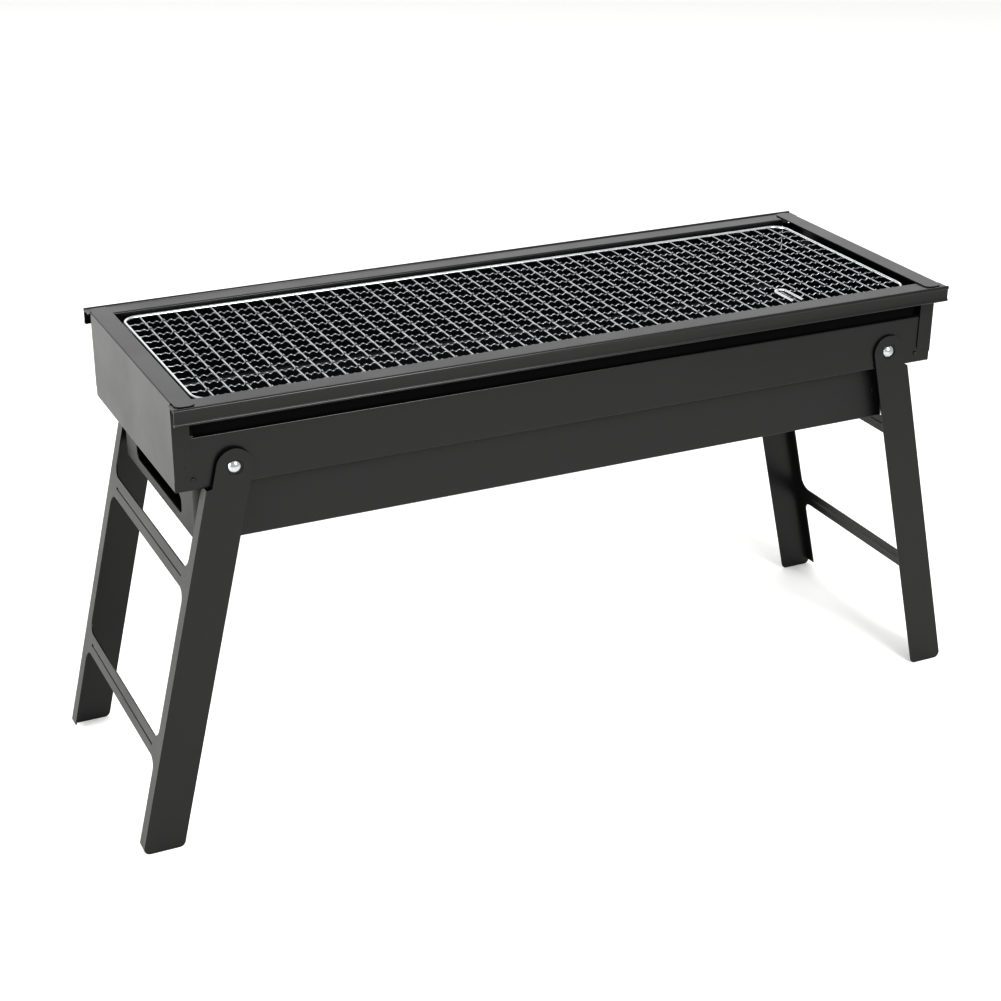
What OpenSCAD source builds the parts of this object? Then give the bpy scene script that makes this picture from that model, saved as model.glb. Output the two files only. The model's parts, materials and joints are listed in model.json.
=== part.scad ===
// Folding table-top charcoal grill in black painted sheet steel, standing on its open legs.
// X runs along the grill, -Y is its front and +Z is up. The origin is on the ground, midway between the feet.

/* [Body] */
// Length of the body over its two end panels
body_l = 601; // [580:1:620]
// Depth of the body over its two side panels
body_d = 192; // [188:1:196]
// Height of the rim's top above the ground
rim_z = 333; // [331:1:340]
// Height of the panels' bottom edge above the ground
panel_low_z = 269; // [268.6:0.2:269.4]
// Height of the side panels' top edge above the ground
panel_top_z = 306.5; // [304:0.5:310]
// Thickness of the sheet steel of the body, rims and tray
sheet_t = 0.8; // [0.6:0.1:0.9]
// Width of the flat flange along the top of each end panel
end_flange_w = 15; // [12:0.5:16]

/* [Rim] */
// How far a rim's front face stands out from the side panel
rim_out = 15; // [12:0.5:18]
// Height of a rim's front face
rim_h = 12; // [10:0.5:14]
// How far the wall under the rim is set back from the side panel
rim_setback = 3; // [2.5:0.5:3]
// Diameter of the rolled bead along the rim's upper front edge
bead_d = 3; // [2:0.5:3.5]

/* [Tray] */
// Length of the charcoal tray
tray_l = 555; // [545:1:556]
// How far the tray sits to the left of the grill's middle
tray_offset = 7.5; // [6:0.5:8]
// How far the tray hangs below the panels when it is down
tray_drop = 43; // [40:1:43]
// Length of the hand slot in the tray's left end
slot_l = 108; // [80:1:120]
// Height of the hand slot
slot_h = 14; // [10:1:16]

/* [Net] */
// Length of the wire net over the centre of its frame wire
net_l = 561; // [540:1:562]
// Depth of the wire net over the centre of its frame wire
net_d = 177; // [170:1:177]
// Diameter of the net's frame wire
frame_wire_d = 3; // [2.5:0.5:4]
// Diameter of the net's inner wires
mesh_wire_d = 1.6; // [1.4:0.2:2.2]
// Number of cells along the net
cells_x = 42; // [30:1:46]
// Number of wires along the net
rows = 13; // [10:1:14]

/* [Legs] */
// Distance of the left pivot from the middle of the grill
pivot_x = 260; // [256:1:262]
// Height of the leg pivots above the ground
pivot_z = 282.5; // [282.2:0.1:282.8]
// Lean of the open legs from upright, in degrees
leg_lean = 12.9; // [12:0.1:13.5]
// Thickness of the legs' sheet steel
leg_t = 1; // [0.8:0.1:1]
// Distance from the left pivot to the outer face of its leg flange
left_flange_r = 16.7; // [16.7:0.1:17]
// The same distance on the right frame, which nests inside the left one
right_flange_r = 15.2; // [15:0.1:15.2]
// Distance from a pivot to the leg's inner edge, also the radius of its rounded top
tab_r = 12.8; // [12:0.1:13.2]
// Height of each crossbar's strip
bar_h = 15.5; // [12:0.5:18]
// Distance down the leg from the pivot to the upper crossbar
upper_bar_s = 79.5; // [76:0.5:90]
// Distance down the leg from the pivot to the lower crossbar
lower_bar_s = 208; // [190:1:215]

/* [Fasteners] */
// Diameter of a pivot rivet's domed head
rivet_head_d = 9.5; // [8:0.5:10]
// Diameter of a pivot rivet's shank
rivet_shank_d = 5; // [4:0.5:5]

/* [Hidden] */
$fn = 48;
satin_black = "#2c2d2c";
tray_black = "#303130";
plated = "#d9dbdb";

half_l = body_l / 2;
half_d = body_d / 2;
bend_r = 1.2;
lip_w = 7.6;
end_lip_w = 14.5;
end_inner_x = half_l - end_flange_w;
corner_flange_w = 12;
corner_flange_low = 277;
web_out_y = half_d - rim_setback;
web_in_y = web_out_y - sheet_t;
rim_front_y = half_d + rim_out;
rim_end_x = half_l + 1.5;
web_low_z = panel_top_z - 5;
ear_x = half_l - 19;
ear_top_z = panel_low_z + 17;
corner_rivet_x = half_l - 13;
corner_rivet_z = panel_low_z + 8;
groove_w = 0.9;
groove_h = 1.1;
face_in = 0.9;
hem_r = 1.2;
tongue_l = 9.4;
tongue_r = 5;
weld_z = [299, 287, 280];
weld_x = half_l - 7.2;
small_rivet_r = 1.2;
small_head_r = 1.5;
small_tail_r = 2;

tray_half_l = tray_l / 2;
tray_y = half_d - lip_w - 0.4;
tray_low_z = panel_low_z - tray_drop;
tray_lip_z = panel_low_z + sheet_t + 0.3;
tray_lip_w = 3.6;
tray_corner_r = 6;
tray_lip_end_x = half_l - 3.5;
tray_tab_l = 14;
tray_rivet_x = [for (s = [-1, 1]) s * (tray_half_l - tray_corner_r - 8)];
tray_rivet_z = (tray_low_z + tray_lip_z) / 2;
slot_low_z = tray_low_z + 7.5;
grate_z = tray_low_z + 12;
grate_gap = 3;
grate_slot_l = 28;
grate_slot_w = 5;

net_z = rim_z - 5;
net_corner_r = 12;
weave = mesh_wire_d / 2 + 0.03;
tab_top_z = net_z - frame_wire_d / 2 - 0.3;
tab_l = 14;
loop_x = 183;
loop_r = 4.2;
loop_wire_d = 2.4;
loop_back_y = 60;
rear_row_gap = 16.5;
front_row_gap = 3.3;
row_pitch = (net_d - rear_row_gap - front_row_gap) / (rows - 1);

left_web_y = half_d + 2.4;
right_web_y = half_d + 1;
flange_in_y = half_d - lip_w + 0.2;
right_pivot_x = pivot_x + (left_flange_r - right_flange_r) / cos(leg_lean);
stop_gap = 0.4;
foot_r = 4.5;
bar_corner_r = 9;
press_r = 0.9;
seat_r = 5.9;
seat_h = 0.5;
shank_play = 0.05;
axial_play = 0.1;

// Points of an arc about c from angle a0 to a1, in n steps.
function arc(c, r, a0, a1, n = 5) =
    [for (i = [0:n]) let (a = a0 + (a1 - a0) * i / n) [c[0] + r * cos(a), c[1] + r * sin(a)]];

function unit(v) = v / norm(v);
function left_normal(v) = [-v[1], v[0]];

// An open path whose inner corners are rounded to radius r.
function rounded(path, r, n = 4) =
    let (last = len(path) - 1)
    [for (i = [0:last])
        each (i == 0 || i == last) ? [path[i]] :
            let (
                a = unit(path[i] - path[i - 1]),
                b = unit(path[i + 1] - path[i]),
                turn = acos(max(-1, min(1, a * b))),
                cut = r * tan(turn / 2),
                side = sign(a[0] * b[1] - a[1] * b[0]),
                start = path[i] - a * cut,
                centre = start + left_normal(a) * side * r,
                first = atan2(start[1] - centre[1], start[0] - centre[0])
            ) arc(centre, r, first, first + side * turn, n)];

// The path shifted by t to its left, with mitred corners.
function shifted(path, t) =
    let (last = len(path) - 1)
    [for (i = [0:last])
        let (
            before = unit(path[max(i, 1)] - path[max(i, 1) - 1]),
            after = unit(path[min(i, last - 1) + 1] - path[min(i, last - 1)]),
            mid = left_normal(before) + left_normal(after)
        ) path[i] + mid * t / (1 + before * after)];

function reversed(list) = [for (i = [len(list) - 1:-1:0]) list[i]];

// The section of a bent sheet: its outer path and the same path shifted by its thickness.
function sheet_section(path, t) = concat(path, reversed(shifted(path, t)));

// A section drawn in Y and Z, extruded along X between two ends.
module along_x(x0, x1) {
    translate([x0, 0, 0]) rotate([90, 0, 90]) linear_extrude(height = x1 - x0) children();
}

// A section drawn in X and Z, extruded along Y between two ends.
module along_y(y0, y1) {
    translate([0, y1, 0]) rotate([90, 0, 0]) linear_extrude(height = y1 - y0) children();
}

module box(low, high) {
    translate(low) cube(high - low);
}

module round_rect(low, high, r) {
    translate(low + [r, 0]) square([high[0] - low[0] - 2 * r, high[1] - low[1]]);
    translate(low + [0, r]) square([high[0] - low[0], high[1] - low[1] - 2 * r]);
    for (x = [low[0] + r, high[0] - r], y = [low[1] + r, high[1] - r]) {
        translate([x, y]) circle(r = r);
    }
}

module y_cylinder(x, z, y0, y1, r) {
    translate([x, y1, z]) rotate([90, 0, 0]) cylinder(r = r, h = y1 - y0);
}

// A side panel is bent in at the bottom, where the tray's lip rests, and at its top edge.
module side_panel() {
    path = rounded([
        [-(half_d - lip_w), panel_low_z],
        [-half_d, panel_low_z],
        [-half_d, panel_top_z],
        [-web_out_y, panel_top_z]
    ], bend_r);
    color(satin_black) difference() {
        along_x(-(half_l - sheet_t), half_l - sheet_t) polygon(sheet_section(path, -sheet_t));
        for (x = [-pivot_x, right_pivot_x]) {
            y_cylinder(x, pivot_z, -half_d - 1, -half_d + 2, rivet_shank_d / 2);
        }
        for (x = [-corner_rivet_x, corner_rivet_x]) {
            y_cylinder(x, corner_rivet_z, -half_d - 1, -half_d + 2, small_rivet_r);
        }
    }
}

// An end panel has a top flange that ends in a rounded tongue on each rim, a bottom lip, flanges wrapped
// round both corners and two inner ears.
module end_panel() {
    path = rounded([
        [-end_inner_x, rim_z],
        [-half_l, rim_z],
        [-half_l, panel_low_z],
        [-(half_l - end_lip_w), panel_low_z]
    ], bend_r);
    flange_y = half_d + sheet_t + 0.05;
    color(satin_black) difference() {
        union() {
            along_y(-flange_y, flange_y) polygon(sheet_section(path, sheet_t));
            for (s = [-1, 1]) {
                corner_flange(s, flange_y);
                ear(s);
                flange_tongue(s, flange_y);
            }
        }
        for (s = [-1, 1]) {
            y_cylinder(-corner_rivet_x, corner_rivet_z, s * half_d - 3, s * half_d + 3, small_rivet_r);
            corner_trim(s, flange_y);
            for (z = weld_z) translate([-weld_x, s * (flange_y + 1.6), z]) sphere(r = 2);
        }
    }
}

module corner_flange(s, flange_y) {
    y0 = s > 0 ? flange_y - sheet_t : -flange_y;
    along_y(y0, y0 + sheet_t) polygon([
        [-half_l, corner_flange_low],
        [-(half_l - corner_flange_w), corner_flange_low + 4],
        [-(half_l - corner_flange_w), rim_z - 6],
        [-half_l, rim_z - 6]
    ]);
}

module flange_tongue(s, flange_y) {
    translate([0, 0, rim_z - sheet_t]) mirror([0, s > 0 ? 1 : 0, 0]) linear_extrude(height = sheet_t)
        round_rect([bend_r - half_l, -flange_y - tongue_l], [-end_inner_x, 3 * tongue_r - flange_y], tongue_r);
}

module ear(s) {
    y0 = s > 0 ? half_d - 2 * sheet_t : -half_d + sheet_t;
    box([-half_l + sheet_t, y0, panel_low_z + bend_r + sheet_t], [-ear_x, y0 + sheet_t, ear_top_z]);
    box([-half_l + sheet_t, y0, panel_low_z], [-ear_x - 1, y0 + sheet_t, panel_low_z + bend_r + sheet_t]);
}

// The bent sheet is cut back beside the lower part of each corner, and under the long panels' lips.
module corner_trim(s, flange_y) {
    low = s > 0 ? half_d - 0.01 : -flange_y - 1;
    box([-half_l - 1, low, panel_low_z - 1], [-half_l + 30, low + flange_y - half_d + 1.01, corner_flange_low]);
    lip_low = s > 0 ? half_d - lip_w - 0.1 : -half_d + sheet_t - 0.01;
    lip_high = s > 0 ? half_d - sheet_t + 0.01 : -half_d + lip_w + 0.1;
    lip_cut_low = s > 0 ? lip_low : -(half_d + 0.01);
    lip_cut_high = s > 0 ? half_d + 0.01 : lip_high;
    box([-half_l + sheet_t, lip_cut_low, panel_low_z - 1], [0, lip_cut_high, panel_low_z + sheet_t + 0.02]);
}

// A rim is a channel: a wall behind the side panel, a flat top, a beaded front edge and a rolled lower edge.
module rim() {
    front = -rim_front_y;
    bead_r = bead_d / 2;
    flat_z = rim_z - sheet_t - 0.02;
    bead_back_y = front + bead_d;
    face_y = front + face_in;
    low = rim_z - rim_h;
    path = concat(
        [[-web_in_y, web_low_z]],
        arc([-web_in_y - bend_r, flat_z - bend_r], bend_r, 0, 90),
        [[bead_back_y + groove_w, flat_z], [bead_back_y + groove_w - 0.2, flat_z - groove_h]],
        [[bead_back_y, flat_z - groove_h]],
        arc([front + bead_r, rim_z - bead_r], bead_r, 0, 180, 8),
        [[face_y, rim_z - bead_d], [face_y, low + 2 * hem_r]],
        arc([front + hem_r, low + hem_r], hem_r, 160, 290, 6),
        [[front + 4, low + 0.5]]
    );
    color(satin_black) difference() {
        union() {
            along_x(-rim_end_x, rim_end_x) polygon(sheet_section(path, sheet_t));
            for (x = [-210, -70, 70, 210]) {
                box([x - tab_l / 2, -web_in_y - 0.1, tab_top_z - sheet_t], [x + tab_l / 2, -net_d / 2 + 0.5, tab_top_z]);
            }
        }
        for (s = [-1, 1]) {
            low_x = s > 0 ? end_inner_x - 0.5 : -rim_end_x - 1;
            notch_y = half_d + sheet_t + 0.6;
            box([low_x, -notch_y, web_low_z - 1], [low_x + rim_end_x - end_inner_x + 1.5, 0, rim_z + 1]);
        }
    }
}

// A domed head in the leg's shallow seat, a shank, and a flattened tail inside the side panel.
module pivot_rivet(x, web_y) {
    head_y = web_y + leg_t - seat_h + axial_play;
    head_r = rivet_head_d / 2;
    head_h = 2.6;
    sphere_r = (head_r * head_r + head_h * head_h) / (2 * head_h);
    color(plated) translate([x, 0, pivot_z]) rotate([90, 0, 0]) {
        intersection() {
            translate([0, 0, head_y + head_h - sphere_r]) sphere(r = sphere_r);
            translate([0, 0, head_y]) cylinder(r = head_r, h = head_h + 1);
        }
        translate([0, 0, half_d - sheet_t]) cylinder(r = rivet_shank_d / 2, h = head_y - half_d + sheet_t + 0.5);
        translate([0, 0, half_d - sheet_t - 1]) cylinder(r = rivet_shank_d / 2 + 1.6, h = 1);
    }
}

module spacer(x, web_y) {
    color(plated) translate([x, 0, pivot_z]) rotate([90, 0, 0]) difference() {
        translate([0, 0, half_d]) cylinder(r = 7, h = web_y - axial_play - half_d);
        translate([0, 0, half_d - 1]) cylinder(r = rivet_shank_d / 2, h = web_y - half_d + 2);
    }
}

// Small painted rivets hold each side panel to the end panels' ears.
module corner_rivets() {
    in_y = half_d - 2 * sheet_t;
    for (sx = [-1, 1], sy = [-1, 1]) {
        color(satin_black) mirror([0, sy > 0 ? 1 : 0, 0]) translate([sx * corner_rivet_x, 0, corner_rivet_z])
            rotate([90, 0, 0]) rotate_extrude() polygon(concat(
                [[0, in_y - 0.6], [small_tail_r, in_y - 0.6], [small_tail_r, in_y]],
                [[small_rivet_r, in_y], [small_rivet_r, half_d], [small_head_r, half_d]],
                arc([0, half_d], small_head_r, 10, 90, 6)
            ));
    }
}

// The trough is the tray's bottom and long walls in one bent sheet, with a lip along each top edge.
module tray_trough() {
    low = tray_low_z;
    wall = rounded([
        [-tray_y - tray_lip_w, tray_lip_z + sheet_t],
        [-tray_y, tray_lip_z + sheet_t],
        [-tray_y, low],
        [tray_y, low],
        [tray_y, tray_lip_z + sheet_t],
        [tray_y + tray_lip_w, tray_lip_z + sheet_t]
    ], bend_r);
    straight_l = tray_half_l - tray_corner_r;
    color(tray_black) difference() {
        union() {
            along_x(-straight_l, straight_l) polygon(sheet_section(wall, sheet_t));
            for (s = [-1, 1]) {
                translate([0, 0, low]) linear_extrude(height = sheet_t) mirror([s > 0 ? 0 : 1, 0])
                    round_rect([straight_l - 8, -tray_y + bend_r], [tray_half_l, tray_y - bend_r], tray_corner_r - 1);
            }
        }
        for (x = tray_rivet_x, s = [-1, 1]) {
            y_cylinder(x, tray_rivet_z, s * tray_y - 2, s * tray_y + 2, small_rivet_r);
        }
    }
}

// A tray end wraps round both corners and is riveted inside the trough's long walls.
module tray_end(lip_l, with_slot) {
    in_y = tray_y - sheet_t - 0.02;
    low = tray_low_z + sheet_t + 0.02;
    plan = rounded([
        [-(tray_half_l - tray_corner_r - tray_tab_l), -in_y],
        [-tray_half_l, -in_y],
        [-tray_half_l, in_y],
        [-(tray_half_l - tray_corner_r - tray_tab_l), in_y]
    ], tray_corner_r, 6);
    color(tray_black) difference() {
        union() {
            translate([0, 0, low]) linear_extrude(height = tray_lip_z - low)
                polygon(sheet_section(plan, -sheet_t));
            box([-tray_half_l - lip_l, -in_y + tray_corner_r, tray_lip_z],
                [-tray_half_l + sheet_t, in_y - tray_corner_r, tray_lip_z + sheet_t]);
        }
        if (with_slot) {
            translate([-tray_half_l - 2, 0, 0]) rotate([90, 0, 90]) linear_extrude(height = 5)
                round_rect([-slot_l / 2, slot_low_z], [slot_l / 2, slot_low_z + slot_h], 5);
        }
        for (s = [-1, 1]) {
            y_cylinder(tray_rivet_x[0], tray_rivet_z, s * tray_y - 4, s * tray_y + 4, small_rivet_r);
        }
    }
}

module tray_left_end() {
    translate([-tray_offset, 0, 0]) tray_end(tray_lip_end_x - tray_half_l - tray_offset, true);
}

// The right end's lip is wider, because the tray sits nearer the grill's left end.
module tray_right_end() {
    translate([-tray_offset, 0, 0]) mirror([1, 0, 0])
        tray_end(tray_lip_end_x - tray_half_l + tray_offset, false);
}

module tray_rivets() {
    in_y = tray_y - 2 * sheet_t - 0.02;
    for (x = tray_rivet_x, sy = [-1, 1]) {
        color(plated) mirror([0, sy > 0 ? 1 : 0, 0]) translate([x, 0, tray_rivet_z])
            rotate([90, 0, 0]) rotate_extrude() polygon([
                [0, in_y - 0.8],
                [small_tail_r, in_y - 0.8],
                [small_tail_r, in_y],
                [small_rivet_r, in_y],
                [small_rivet_r, tray_y],
                [0, tray_y]
            ]);
    }
}

// A slotted plate that holds the coals off the tray's bottom on its folded long edges.
module charcoal_grate() {
    gx = tray_half_l - tray_corner_r - grate_gap;
    gy = tray_y - sheet_t - grate_gap;
    foot_z = tray_low_z + sheet_t + 0.02;
    path = rounded([[-gy, foot_z], [-gy, grate_z], [gy, grate_z], [gy, foot_z]], bend_r);
    pitch = [42, 15];
    count = [12, 9];
    color(tray_black) difference() {
        along_x(-gx, gx) polygon(sheet_section(path, -sheet_t));
        for (i = [0:count[0] - 1], j = [0:count[1] - 1]) {
            x = (i - (count[0] - 1) / 2) * pitch[0] + (j % 2 == 0 ? -4 : 4);
            y = (j - (count[1] - 1) / 2) * pitch[1];
            translate([0, 0, grate_z - 2]) linear_extrude(height = 4)
                translate([x - grate_slot_l / 2, y - grate_slot_w / 2]) square([grate_slot_l, grate_slot_w]);
        }
    }
}

// The net's frame is one wire bent to a rounded rectangle.
module net_frame_wire() {
    x = net_l / 2 - net_corner_r;
    y = net_d / 2 - net_corner_r;
    r = frame_wire_d / 2;
    color(plated) translate([0, 0, net_z]) {
        for (s = [-1, 1]) {
            translate([-x, s * net_d / 2, 0]) rotate([0, 90, 0]) cylinder(r = r, h = 2 * x);
            translate([s * net_l / 2, y, 0]) rotate([90, 0, 0]) cylinder(r = r, h = 2 * y);
        }
        for (corner = [[x, y, 0], [-x, y, 90], [-x, -y, 180], [x, -y, 270]]) {
            translate([corner[0], corner[1], 0]) rotate([0, 0, corner[2]])
                rotate_extrude(angle = 90) translate([net_corner_r, 0]) circle(r = r);
        }
    }
}

// Straight wires across the net, welded to the frame at both ends.
module net_cross_wires() {
    reach = net_d / 2 - frame_wire_d / 2 - 0.05;
    for (i = [1:cells_x - 1]) {
        x = (i / cells_x - 0.5) * net_l;
        color(plated) y_cylinder(x, net_z + weave, -reach, reach, mesh_wire_d / 2);
    }
}

// How far a wire at y reaches along the net, short of the frame's rounded corners.
function row_reach(y) =
    let (
        inner_r = net_corner_r - frame_wire_d / 2 - 0.05,
        past = abs(y) + mesh_wire_d / 2 + net_corner_r - net_d / 2
    ) net_l / 2 - net_corner_r + (past > 0 ? sqrt(inner_r * inner_r - past * past) : inner_r);

// Wires along the net, drawn here without their crimps.
module net_long_wires() {
    for (j = [0:rows - 1]) {
        y = j * row_pitch + front_row_gap - net_d / 2;
        reach = row_reach(y);
        color(plated) translate([-reach, y, net_z - weave]) rotate([0, 90, 0])
            cylinder(r = mesh_wire_d / 2, h = 2 * reach);
    }
}

// A wire loop on top of the net for lifting it.
module net_lift_loop() {
    z = net_z + weave + (mesh_wire_d + loop_wire_d) / 2 + 0.03;
    front = net_d / 2 - 1;
    color(plated) translate([loop_x, 0, z]) {
        for (s = [-1, 1]) {
            y_cylinder(s * loop_r, 0, -front, -loop_back_y - loop_r, loop_wire_d / 2);
        }
        translate([0, -loop_back_y - loop_r, 0]) rotate_extrude(angle = 180)
            translate([loop_r, 0]) circle(r = loop_wire_d / 2);
    }
}

// How far down the leg the ground is, at q out from the pivot's line.
function ground_s(q) = (pivot_z + q * sin(leg_lean)) / cos(leg_lean);

// How far down the leg the flange may start, to stop just under the side panel when open.
function flange_top_s(q) = (pivot_z - panel_low_z + stop_gap + q * sin(leg_lean)) / cos(leg_lean);

// One frame is pressed from one sheet: two L-shaped legs and two ribbed crossbars. It leans to -X from x = 0.
// It is drawn lying down: X is down the leg from the pivot, and -Z is out towards the flange.
module leg_frame(flange_r, web_y) {
    top_s = flange_top_s(flange_r);
    outline = concat(
        arc([0, 0], tab_r, 270, 90, 16),
        rounded([
            [100, tab_r],
            [ground_s(-tab_r), tab_r],
            [ground_s(flange_r), -flange_r],
            [100, -flange_r]
        ], foot_r),
        [[top_s, -flange_r], [top_s, leg_t - flange_r], [top_s - 1.5, -tab_r]]
    );
    color(satin_black) translate([0, 0, pivot_z]) rotate([0, 90 + leg_lean, 0]) difference() {
        union() {
            for (y0 = [-web_y - leg_t, web_y]) {
                along_y(y0, y0 + leg_t) polygon(outline);
            }
            flange_sheet(flange_r, web_y, top_s);
        }
        for (s = [-1, 1]) {
            y_cylinder(0, 0, s * web_y - 3, s * web_y + 3, rivet_shank_d / 2 + shank_play);
            seat_y = s > 0 ? web_y + leg_t - seat_h : -web_y - leg_t - 1;
            y_cylinder(0, 0, seat_y, seat_y + seat_h + 1, seat_r);
        }
    }
}

// Flanges and crossbars in the plane of the legs' outer edges.
module flange_sheet(flange_r, web_y, top_s) {
    out_y = web_y + leg_t;
    far_s = ground_s(flange_r) - foot_r;
    bars = [upper_bar_s, lower_bar_s];
    translate([0, 0, -flange_r]) difference() {
        union() {
            linear_extrude(height = leg_t) difference() {
                translate([top_s, -out_y]) square([far_s - top_s, 2 * out_y]);
                round_rect([-20, -flange_in_y], [bars[0], flange_in_y], bar_corner_r);
                round_rect([bars[0] + bar_h, -flange_in_y], [bars[1], flange_in_y], bar_corner_r);
                round_rect([bars[1] + bar_h, -flange_in_y], [far_s + 40, flange_in_y], bar_corner_r);
            }
            for (s = bars) rib(s, press_r + leg_t);
        }
        for (s = bars) rib(s, press_r);
    }
}

// A groove pressed along a crossbar, or the ridge that it raises on the inside.
module rib(s, r) {
    rib_y = flange_in_y - bar_corner_r;
    translate([s + bar_h / 2, rib_y, 0]) rotate([90, 0, 0]) intersection() {
        cylinder(r = r, h = 2 * rib_y);
        translate([-r, 0, 0]) cube([2 * r, r + 1, 2 * rib_y]);
    }
}

module left_leg_frame() {
    translate([-pivot_x, 0, 0]) leg_frame(left_flange_r, left_web_y);
}

module right_leg_frame() {
    mirror([1, 0, 0]) translate([-right_pivot_x, 0, 0]) leg_frame(right_flange_r, right_web_y);
}

side_panel();  // front_side_panel
mirror([0, 1, 0]) side_panel();  // rear_side_panel
end_panel();  // left_end_panel
mirror([1, 0, 0]) end_panel();  // right_end_panel
rim();  // front_rim
mirror([0, 1, 0]) rim();  // rear_rim
corner_rivets();
pivot_rivet(-pivot_x, left_web_y);  // front_left_pivot_rivet
pivot_rivet(right_pivot_x, right_web_y);  // front_right_pivot_rivet
mirror([0, 1, 0]) pivot_rivet(-pivot_x, left_web_y);  // rear_left_pivot_rivet
mirror([0, 1, 0]) pivot_rivet(right_pivot_x, right_web_y);  // rear_right_pivot_rivet
spacer(-pivot_x, left_web_y);  // front_left_spacer
spacer(right_pivot_x, right_web_y);  // front_right_spacer
mirror([0, 1, 0]) spacer(-pivot_x, left_web_y);  // rear_left_spacer
mirror([0, 1, 0]) spacer(right_pivot_x, right_web_y);  // rear_right_spacer
translate([-tray_offset, 0, 0]) tray_trough();
tray_left_end();
tray_right_end();
translate([-tray_offset, 0, 0]) tray_rivets();
translate([-tray_offset, 0, 0]) charcoal_grate();
net_frame_wire();
net_long_wires();
net_cross_wires();
net_lift_loop();
left_leg_frame();
right_leg_frame();
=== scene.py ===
import json
import math

import bmesh
import bpy
from mathutils import Matrix, Vector


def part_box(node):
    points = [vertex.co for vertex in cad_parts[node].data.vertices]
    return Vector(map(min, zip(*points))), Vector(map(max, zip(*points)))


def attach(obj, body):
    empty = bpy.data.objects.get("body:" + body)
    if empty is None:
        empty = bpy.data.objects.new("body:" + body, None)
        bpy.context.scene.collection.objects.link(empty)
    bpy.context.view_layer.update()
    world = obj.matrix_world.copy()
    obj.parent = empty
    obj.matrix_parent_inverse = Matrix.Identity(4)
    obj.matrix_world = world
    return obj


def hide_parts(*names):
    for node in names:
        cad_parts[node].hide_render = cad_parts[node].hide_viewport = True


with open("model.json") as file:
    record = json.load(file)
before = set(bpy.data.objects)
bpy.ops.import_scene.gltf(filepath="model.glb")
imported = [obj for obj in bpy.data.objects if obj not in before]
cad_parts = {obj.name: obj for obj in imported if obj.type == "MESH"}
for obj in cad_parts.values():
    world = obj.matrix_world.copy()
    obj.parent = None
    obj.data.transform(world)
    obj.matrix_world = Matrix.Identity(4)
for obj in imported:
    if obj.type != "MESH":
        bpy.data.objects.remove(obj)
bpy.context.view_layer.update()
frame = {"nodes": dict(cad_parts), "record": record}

# Folding charcoal grill: satin black sheet steel, a bright woven net and plated rivets.
mm = 0.001
record = frame["record"]
nodeBody = {node: body for body, nodes in record["behaviour"]["bodies"].items() for node in nodes}
nodeSlot = {row["node"]: row["material_slot"] for row in record["subparts"]}


def linearColour(hexColour):
    channels = [int(hexColour[i:i + 2], 16) / 255 for i in (1, 3, 5)]
    return [c / 12.92 if c <= 0.04045 else ((c + 0.055) / 1.055) ** 2.4 for c in channels] + [1.0]


def addNode(tree, kind, settings=None, links=None):
    node = tree.nodes.new(kind)
    for key, value in (settings or {}).items():
        if key in node.inputs:
            node.inputs[key].default_value = value
        else:
            setattr(node, key, value)
    for key, socket in (links or {}).items():
        tree.links.new(socket, node.inputs[key])
    return node


def newMaterial(name):
    material = bpy.data.materials.new(name)
    material.use_nodes = True
    tree = material.node_tree
    tree.nodes.clear()
    place = addNode(tree, "ShaderNodeTexCoord").outputs["Object"]
    shader = addNode(tree, "ShaderNodeBsdfPrincipled")
    addNode(tree, "ShaderNodeOutputMaterial", None, {"Surface": shader.outputs["BSDF"]})
    return material, tree, place, shader


def noise(tree, place, scale, detail):
    node = addNode(tree, "ShaderNodeTexNoise", {"Scale": scale, "Detail": detail}, {"Vector": place})
    return node.outputs["Fac"]


# One soft noise drives both the colour and the roughness of a finish. Most of it lies in its middle
# range, and that range is stretched over the roughness.
noiseRange = (0.3, 0.7)
mottleDetail = 3.0


def mottledMaterial(name, look):
    material, tree, place, shader = newMaterial(name)
    mottle = noise(tree, place, 1 / look["mottleSize"], mottleDetail)
    colour = addNode(tree, "ShaderNodeValToRGB", None, {"Fac": mottle})
    for stop, key in zip(colour.color_ramp.elements, ("dark", "light")):
        stop.color = linearColour(look[key])
    settings = {
        "From Min": noiseRange[0],
        "From Max": noiseRange[1],
        "To Min": look["roughness"][0],
        "To Max": look["roughness"][1],
    }
    rough = addNode(tree, "ShaderNodeMapRange", settings, {"Value": mottle}).outputs["Result"]
    tree.links.new(colour.outputs["Color"], shader.inputs["Base Color"])
    tree.links.new(rough, shader.inputs["Roughness"])
    return material, shader, place, rough


# Satin black stoving paint sprayed on sheet steel: an even soft sheen with a faint orange peel.
paintLook = {
    "dark": "#111211",
    "light": "#171817",
    "roughness": (0.29, 0.36),
    "ior": 1.45,
    "peelSize": 1.6 * mm,
    "peelHeight": 0.006 * mm,
    "peelDetail": 2.0,
    "mottleSize": 60 * mm,
}
# The tray's paint stands the fire, so it is a little greyer and more matt.
trayLook = {**paintLook, "dark": "#131413", "light": "#1a1b1a", "roughness": (0.40, 0.50)}
# The wall that stands back under each rim gets painted shade in place of the rim's shadow: its paint is
# made rougher and its specular level lower, so it reads dark. It is fully shaded from innerY inwards and
# below topZ, and has its full sheen from outerY outwards. The sheen is given first where the paint is
# unshaded and then where it is shaded.
recessShadeLook = {
    "outerY": 94.5 * mm,
    "innerY": 93.4 * mm,
    "topZ": 321 * mm,
    "fade": 1 * mm,
    "roughness": 0.95,
    "paintedShadeSpecular": (0.5, 0.12),
}


# Paints shade into the recess under each rim: rougher paint with a lower specular level there.
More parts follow.
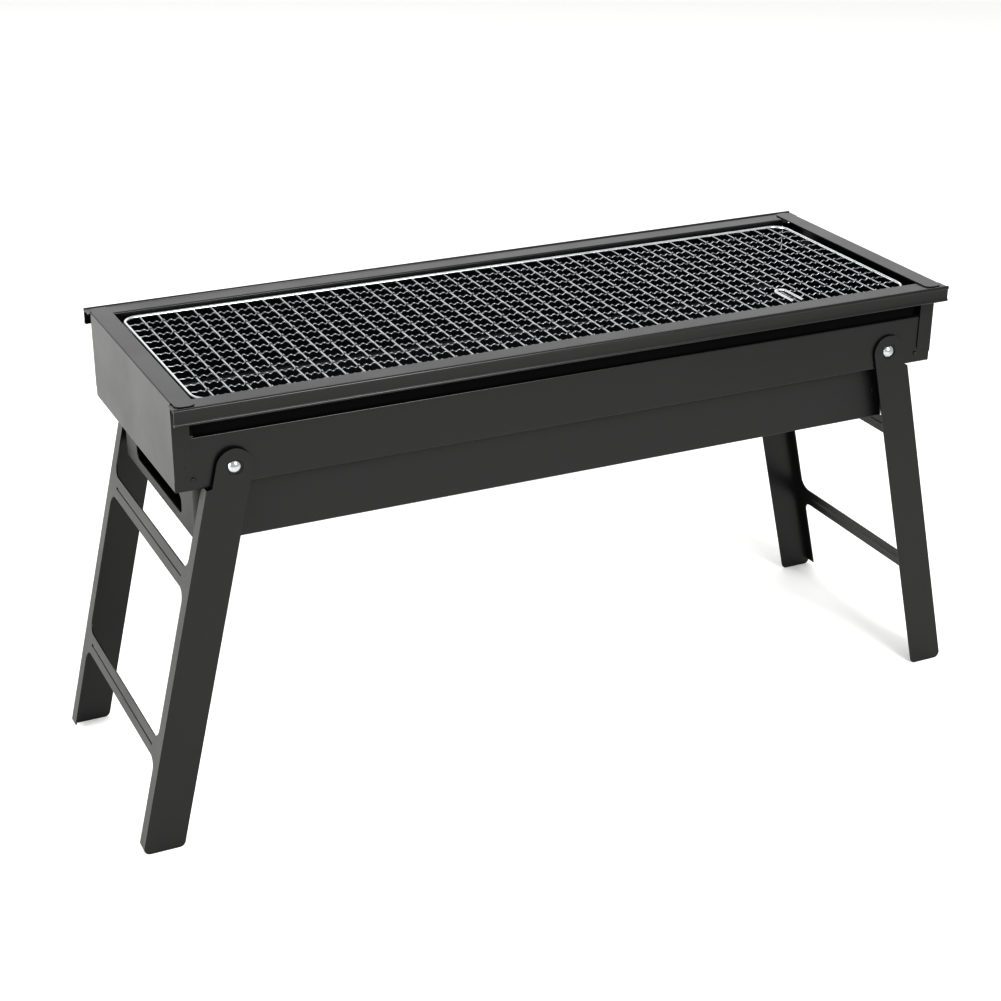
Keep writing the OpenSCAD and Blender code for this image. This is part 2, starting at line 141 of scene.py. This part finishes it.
def paintRecessShade(tree, place, rough, shader, look):
    axes = addNode(tree, "ShaderNodeSeparateXYZ", None, {"Vector": place})
    side = addNode(tree, "ShaderNodeMath", {"operation": "ABSOLUTE"})
    tree.links.new(axes.outputs["Y"], side.inputs[0])
    behind = addNode(tree, "ShaderNodeMapRange", {"From Min": look["outerY"], "From Max": look["innerY"]},
                     {"Value": side.outputs["Value"]})
    below = addNode(tree, "ShaderNodeMapRange",
                    {"From Min": look["topZ"], "From Max": look["topZ"] - look["fade"]},
                    {"Value": axes.outputs["Z"]})
    shadeMask = addNode(tree, "ShaderNodeMath", {"operation": "MULTIPLY"})
    tree.links.new(behind.outputs["Result"], shadeMask.inputs[0])
    tree.links.new(below.outputs["Result"], shadeMask.inputs[1])
    dull = addNode(tree, "ShaderNodeMapRange", {"To Max": look["roughness"]},
                   {"Value": shadeMask.outputs["Value"], "To Min": rough})
    # Painted shade: the specular level falls from its full value to a low one inside the recess.
    full, low = look["paintedShadeSpecular"]
    paintedShadeSpecular = addNode(tree, "ShaderNodeMapRange", {"To Min": full, "To Max": low},
                    {"Value": shadeMask.outputs["Value"]})
    tree.links.new(dull.outputs["Result"], shader.inputs["Roughness"])
    tree.links.new(paintedShadeSpecular.outputs["Result"], shader.inputs["Specular IOR Level"])


def paintedSteel(name, look, recess=None):
    material, shader, place, rough = mottledMaterial(name, look)
    tree = material.node_tree
    shader.inputs["IOR"].default_value = look["ior"]
    peel = noise(tree, place, 1 / look["peelSize"], look["peelDetail"])
    bump = addNode(tree, "ShaderNodeBump", {"Strength": 1.0, "Distance": look["peelHeight"]},
                   {"Height": peel})
    tree.links.new(bump.outputs["Normal"], shader.inputs["Normal"])
    if recess:
        paintRecessShade(tree, place, rough, shader, recess)
    return material


# Zinc-plated wire: a soft grey metal, a little uneven along its length. The crimped wires are the
# dullest, the straight ones are lighter, and the smooth frame and loop are the brightest.
wireLook = {
    "dark": "#6b6f71",
    "light": "#989b9d",
    "roughness": (0.26, 0.40),
    "mottleSize": 9 * mm,
}
straightWireLook = {**wireLook, "dark": "#989b9d", "light": "#bfc1c3"}
frameWireLook = {**wireLook, "dark": "#b2b5b6", "light": "#d5d7d8", "roughness": (0.20, 0.30)}
# Nickel-plated rivet heads: small bright domes that mirror the lights almost sharply.
rivetLook = {
    "dark": "#9fa2a4",
    "light": "#c6c8c9",
    "roughness": (0.14, 0.24),
    "mottleSize": 3 * mm,
}


def platedSteel(name, look):
    material, shader, _, _ = mottledMaterial(name, look)
    shader.inputs["Metallic"].default_value = 1.0
    return material


satinBlackPaint = paintedSteel("satinBlackPaint", paintLook)
# The rims' paint carries the painted shade of the recess under them.
rimPaintWithShadedRecess = paintedSteel("rimPaintWithShadedRecess", paintLook, recessShadeLook)
trayBlackPaint = paintedSteel("trayBlackPaint", trayLook)
zincPlatedWire = platedSteel("zincPlatedWire", wireLook)
straightZincWire = platedSteel("straightZincWire", straightWireLook)
brightFrameWire = platedSteel("brightFrameWire", frameWireLook)
nickelPlatedRivet = platedSteel("nickelPlatedRivet", rivetLook)
slotMaterial = {
    "black_sheet": satinBlackPaint,
    "tray_sheet": trayBlackPaint,
    "plated_steel": nickelPlatedRivet,
    "net_wire": zincPlatedWire,
}
print("materials ready")


def setMaterial(piece, material):
    piece.data.materials.clear()
    piece.data.materials.append(material)


def finishPiece(piece, node, material, replaced):
    setMaterial(piece, material)
    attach(piece, nodeBody[node])
    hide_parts(*replaced)


def newPiece(name, bm, smoothAngle):
    mesh = bpy.data.meshes.new(name)
    bm.to_mesh(mesh)
    bm.free()
    piece = bpy.data.objects.new(name, mesh)
    bpy.context.scene.collection.objects.link(piece)
    for polygon in mesh.polygons:
        polygon.use_smooth = True
    mesh.set_sharp_from_angle(angle=math.radians(smoothAngle))
    return piece


# Sheet metal with the slightly rounded edges that shearing and paint leave. Angles are in degrees.
edgeLook = {
    "width": 0.22 * mm,
    "segments": 2,
    "mergeDistance": 0.002 * mm,
    "flatAngle": 1.0,
    "sharpAngle": 40,
    "smoothAngle": 35,
}
# The legs' edges are rounder, so that they catch the light.
legEdgeLook = {**edgeLook, "width": 0.42 * mm}
softSheets = [
    "front_side_panel", "rear_side_panel", "left_end_panel", "right_end_panel", "front_rim", "rear_rim",
    "left_leg_frame", "right_leg_frame", "tray_trough", "tray_left_end", "tray_right_end",
]


def softenedSheet(node, edge, material):
    bm = bmesh.new()
    bm.from_mesh(frame["nodes"][node].data)
    bmesh.ops.remove_doubles(bm, verts=bm.verts, dist=edge["mergeDistance"])
    flat = math.radians(edge["flatAngle"])
    bmesh.ops.dissolve_limit(bm, angle_limit=flat, verts=bm.verts, edges=bm.edges)
    limit = math.radians(edge["sharpAngle"])
    sharp = [e for e in bm.edges if e.is_manifold and e.calc_face_angle(0) > limit]
    bmesh.ops.bevel(bm, geom=sharp, offset=edge["width"], offset_type="OFFSET", segments=edge["segments"],
                    profile=0.5, affect="EDGES", clamp_overlap=True, material=-1)
    piece = newPiece(node + "_sheet", bm, edge["smoothAngle"])
    weighted = piece.modifiers.new("weightedNormal", "WEIGHTED_NORMAL")
    weighted.keep_sharp = True
    weighted.weight = 100
    finishPiece(piece, node, material, [node])


for node in softSheets:
    edge = legEdgeLook if node.endswith("leg_frame") else edgeLook
    paint = rimPaintWithShadedRecess if node.endswith("rim") else slotMaterial[nodeSlot[node]]
    softenedSheet(node, edge, paint)
print("sheet parts softened")

# Intercrimped net: straight wires across, and crimped wires that pass over and under them by turns.
# A crimped wire also has small waves between the crossings. knuckle says how narrow the tall bends
# at the crossings are, and stations is the number of rings to each half wave.
netLook = {
    "crimpedRadius": 0.68 * mm,
    "straightRadius": 0.76 * mm,
    "sides": 8,
    "cells": 42,
    "rows": 13,
    "halfWavesPerCell": 5,
    "smallWave": 0.42,
    "knuckle": 6,
    "stations": 4,
    "gap": 0.02 * mm,
    "cornerRadius": 12 * mm,
    "mergeDistance": 0.001 * mm,
    "smoothAngle": 60,
}


def copiesAlong(bm, step, count):
    original = bm.verts[:] + bm.edges[:] + bm.faces[:]
    for i in range(1, count):
        made = bmesh.ops.duplicate(bm, geom=original)["geom"]
        verts = [v for v in made if isinstance(v, bmesh.types.BMVert)]
        bmesh.ops.translate(bm, verts=verts, vec=step * i)


# How far a wire at y reaches from the middle, short of the frame wire's round corners.
def rowReach(y, halfLength, halfDepth, wire):
    innerRadius = netLook["cornerRadius"] - wire / 2
    past = abs(y) + netLook["crimpedRadius"] + netLook["cornerRadius"] - halfDepth
    if past <= 0:
        return halfLength
    return halfLength - netLook["cornerRadius"] + math.sqrt(innerRadius ** 2 - past ** 2)


def crimpHeight(across, sign):
    look = netLook
    tall = look["crimpedRadius"] + look["straightRadius"] + look["gap"]
    crossing = math.cos(math.pi * (across - round(across))) ** look["knuckle"]
    share = look["smallWave"] + (1 - look["smallWave"]) * crossing
    wave = math.cos(math.pi * look["halfWavesPerCell"] * across)
    fade = min(1.0, across, look["cells"] - across)
    return tall * wave * share * sign * fade


# A flat grid is rolled into a tube along the wire: its X becomes the length and its Y the turn.
def crimpedWire(bm, middle, y, pitch, reach, sign):
    look = netLook
    radius = look["crimpedRadius"]
    sides = look["sides"]
    perCell = look["halfWavesPerCell"] * look["stations"]
    centre = look["cells"] / 2
    stations = [i / perCell for i in range(look["cells"] * perCell + 1)]
    stations = [across for across in stations if abs(across - centre) * pitch <= reach]
    spans = len(stations) - 1
    verts = bmesh.ops.create_grid(bm, x_segments=spans, y_segments=sides, size=0.5)["verts"]
    for v in verts:
        across = stations[round((v.co.x + 0.5) * spans)]
        angle = math.tau * round((v.co.y + 0.5) * sides) / sides
        x = (across - centre) * pitch
        height = crimpHeight(across, sign) + radius * math.sin(angle)
        v.co = (middle.x + x, y + radius * math.cos(angle), middle.z + height)


def buildNet():
    low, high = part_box("net_frame_wire")
    middle = (low + high) / 2
    wire = high.z - low.z
    halfLength = (high.x - low.x - wire) / 2
    halfDepth = (high.y - low.y - wire) / 2
    pitch = 2 * halfLength / netLook["cells"]
    rowsLow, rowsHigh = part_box("net_long_wires")
    drawnRadius = (rowsHigh.z - rowsLow.z) / 2
    firstY = rowsLow.y + drawnRadius
    rowPitch = (rowsHigh.y - rowsLow.y - 2 * drawnRadius) / (netLook["rows"] - 1)
    bm = bmesh.new()
    for row in range(netLook["rows"]):
        y = firstY + row * rowPitch
        reach = rowReach(y, halfLength, halfDepth, wire)
        sign = 1 if row % 2 == 0 else -1
        crimpedWire(bm, middle, y, pitch, reach, sign)
    bmesh.ops.remove_doubles(bm, verts=bm.verts[:], dist=netLook["mergeDistance"])
    ends = [e for e in bm.edges if e.is_boundary]
    bmesh.ops.holes_fill(bm, edges=ends, sides=netLook["sides"])
    bmesh.ops.recalc_face_normals(bm, faces=bm.faces[:])
    rows = newPiece("net_crimped_wires", bm, netLook["smoothAngle"])
    finishPiece(rows, "net_long_wires", zincPlatedWire, ["net_long_wires"])

    bm = bmesh.new()
    crossLow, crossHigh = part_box("net_cross_wires")
    radius = netLook["straightRadius"]
    depth = crossHigh.y - crossLow.y
    first = Matrix.Translation((middle.x - halfLength + pitch, middle.y, middle.z))
    lying = first @ Matrix.Rotation(math.radians(90), 4, "X")
    bmesh.ops.create_cone(bm, cap_ends=True, segments=netLook["sides"], radius1=radius, radius2=radius,
                          depth=depth, matrix=lying)
    copiesAlong(bm, Vector((pitch, 0, 0)), netLook["cells"] - 1)
    cross = newPiece("net_straight_wires", bm, netLook["smoothAngle"])
    finishPiece(cross, "net_cross_wires", straightZincWire, ["net_cross_wires"])


buildNet()
print("net woven")

# The nodes that are shown as drawn get their finish too.
replacedNodes = set(softSheets) | {"net_long_wires", "net_cross_wires"}
for node, piece in frame["nodes"].items():
    if node not in replacedNodes:
        setMaterial(piece, slotMaterial[nodeSlot[node]])
for node in ("net_frame_wire", "net_lift_loop"):
    setMaterial(frame["nodes"][node], brightFrameWire)
print("plain nodes finished")

# Studio: a pale floor in a white surround, with a soft light from the left and a smaller one from
# above the front. Two lights behind the grill give its upward and left faces their sheen.
studioLook = {
    "floorColour": "#f4f4f2",
    "floorRoughness": (0.75, 0.85),
    "floorMottleScale": 3.0,
    "floorMottleDetail": 2.0,
    "floorSize": 14.0,
    "surround": 0.70,
}
lightLook = {
    "leftLight": {"place": (-2.2, -0.2, 0.9), "target": (0, 0, 0.25), "size": (1.6, 1.2), "power": 40.0},
    "keyLight": {"place": (0.2, -0.95, 1.0), "target": (-0.1, 0, 0.3), "size": (0.35, 0.5), "power": 10.0},
    "backLight": {"place": (0.98, 2.05, 1.37), "target": (0, 0, 0.33), "size": (2.6, 1.1), "power": 6.5},
    "sideLight": {"place": (-1.6, 2.2, 0.5), "target": (-0.3, 0, 0.15), "size": (1.4, 0.9), "power": 8.0},
}
# The photo's angle. Angles are in degrees, the rest in metres, and the lens in the camera's own mm.
cameraLook = {
    "azimuth": -25.604,
    "elevation": 24.474,
    "roll": 0.344,
    "distance": 1.5402,
    "target": (-0.01844, 0.0, 0.17094),
    "lens": 72.015,
    "sensor": 36.0,
}


def buildFloor():
    look = studioLook
    bm = bmesh.new()
    bmesh.ops.create_grid(bm, x_segments=1, y_segments=1, size=look["floorSize"] / 2)
    floor = newPiece("floor", bm, edgeLook["smoothAngle"])
    material, tree, place, shader = newMaterial("paleFloor")
    mottle = noise(tree, place, look["floorMottleScale"], look["floorMottleDetail"])
    low, high = look["floorRoughness"]
    rough = addNode(tree, "ShaderNodeMapRange", {"To Min": low, "To Max": high}, {"Value": mottle})
    tree.links.new(rough.outputs["Result"], shader.inputs["Roughness"])
    shader.inputs["Base Color"].default_value = linearColour(look["floorColour"])
    setMaterial(floor, material)


def buildLight(name, look):
    light = bpy.data.lights.new(name, "AREA")
    light.shape = "RECTANGLE"
    light.size, light.size_y = look["size"]
    light.energy = look["power"]
    lamp = bpy.data.objects.new(name, light)
    place = Vector(look["place"])
    lamp.location = place
    lamp.rotation_euler = (Vector(look["target"]) - place).to_track_quat("-Z", "Y").to_euler()
    bpy.context.scene.collection.objects.link(lamp)


def buildCamera():
    look = cameraLook
    azimuth, elevation, roll = (math.radians(look[key]) for key in ("azimuth", "elevation", "roll"))
    flat = math.cos(elevation)
    view = Vector((-math.sin(azimuth) * flat, math.cos(azimuth) * flat, -math.sin(elevation)))
    right = view.cross(Vector((0, 0, 1))).normalized()
    up = right.cross(view)
    rolledRight = right * math.cos(roll) + up * math.sin(roll)
    rolledUp = up * math.cos(roll) - right * math.sin(roll)
    turned = Matrix((rolledRight, rolledUp, -view)).transposed()
    lens = bpy.data.cameras.new("camera")
    lens.lens = look["lens"]
    lens.sensor_width = look["sensor"]
    camera = bpy.data.objects.new("camera", lens)
    place = Vector(look["target"]) - view * look["distance"]
    camera.matrix_world = Matrix.Translation(place) @ turned.to_4x4()
    bpy.context.scene.collection.objects.link(camera)
    bpy.context.scene.camera = camera


def buildSurround():
    world = bpy.data.worlds.new("surround")
    world.use_nodes = True
    background = world.node_tree.nodes["Background"]
    background.inputs["Color"].default_value = (1, 1, 1, 1)
    background.inputs["Strength"].default_value = studioLook["surround"]
    bpy.context.scene.world = world


buildFloor()
for name, look in lightLook.items():
    buildLight(name, look)
buildCamera()
buildSurround()
# The contrast keeps the surround white and the paint dark at the same time.
bpy.context.scene.view_settings.view_transform = "Standard"
bpy.context.scene.view_settings.look = "High Contrast"
print("studio ready")
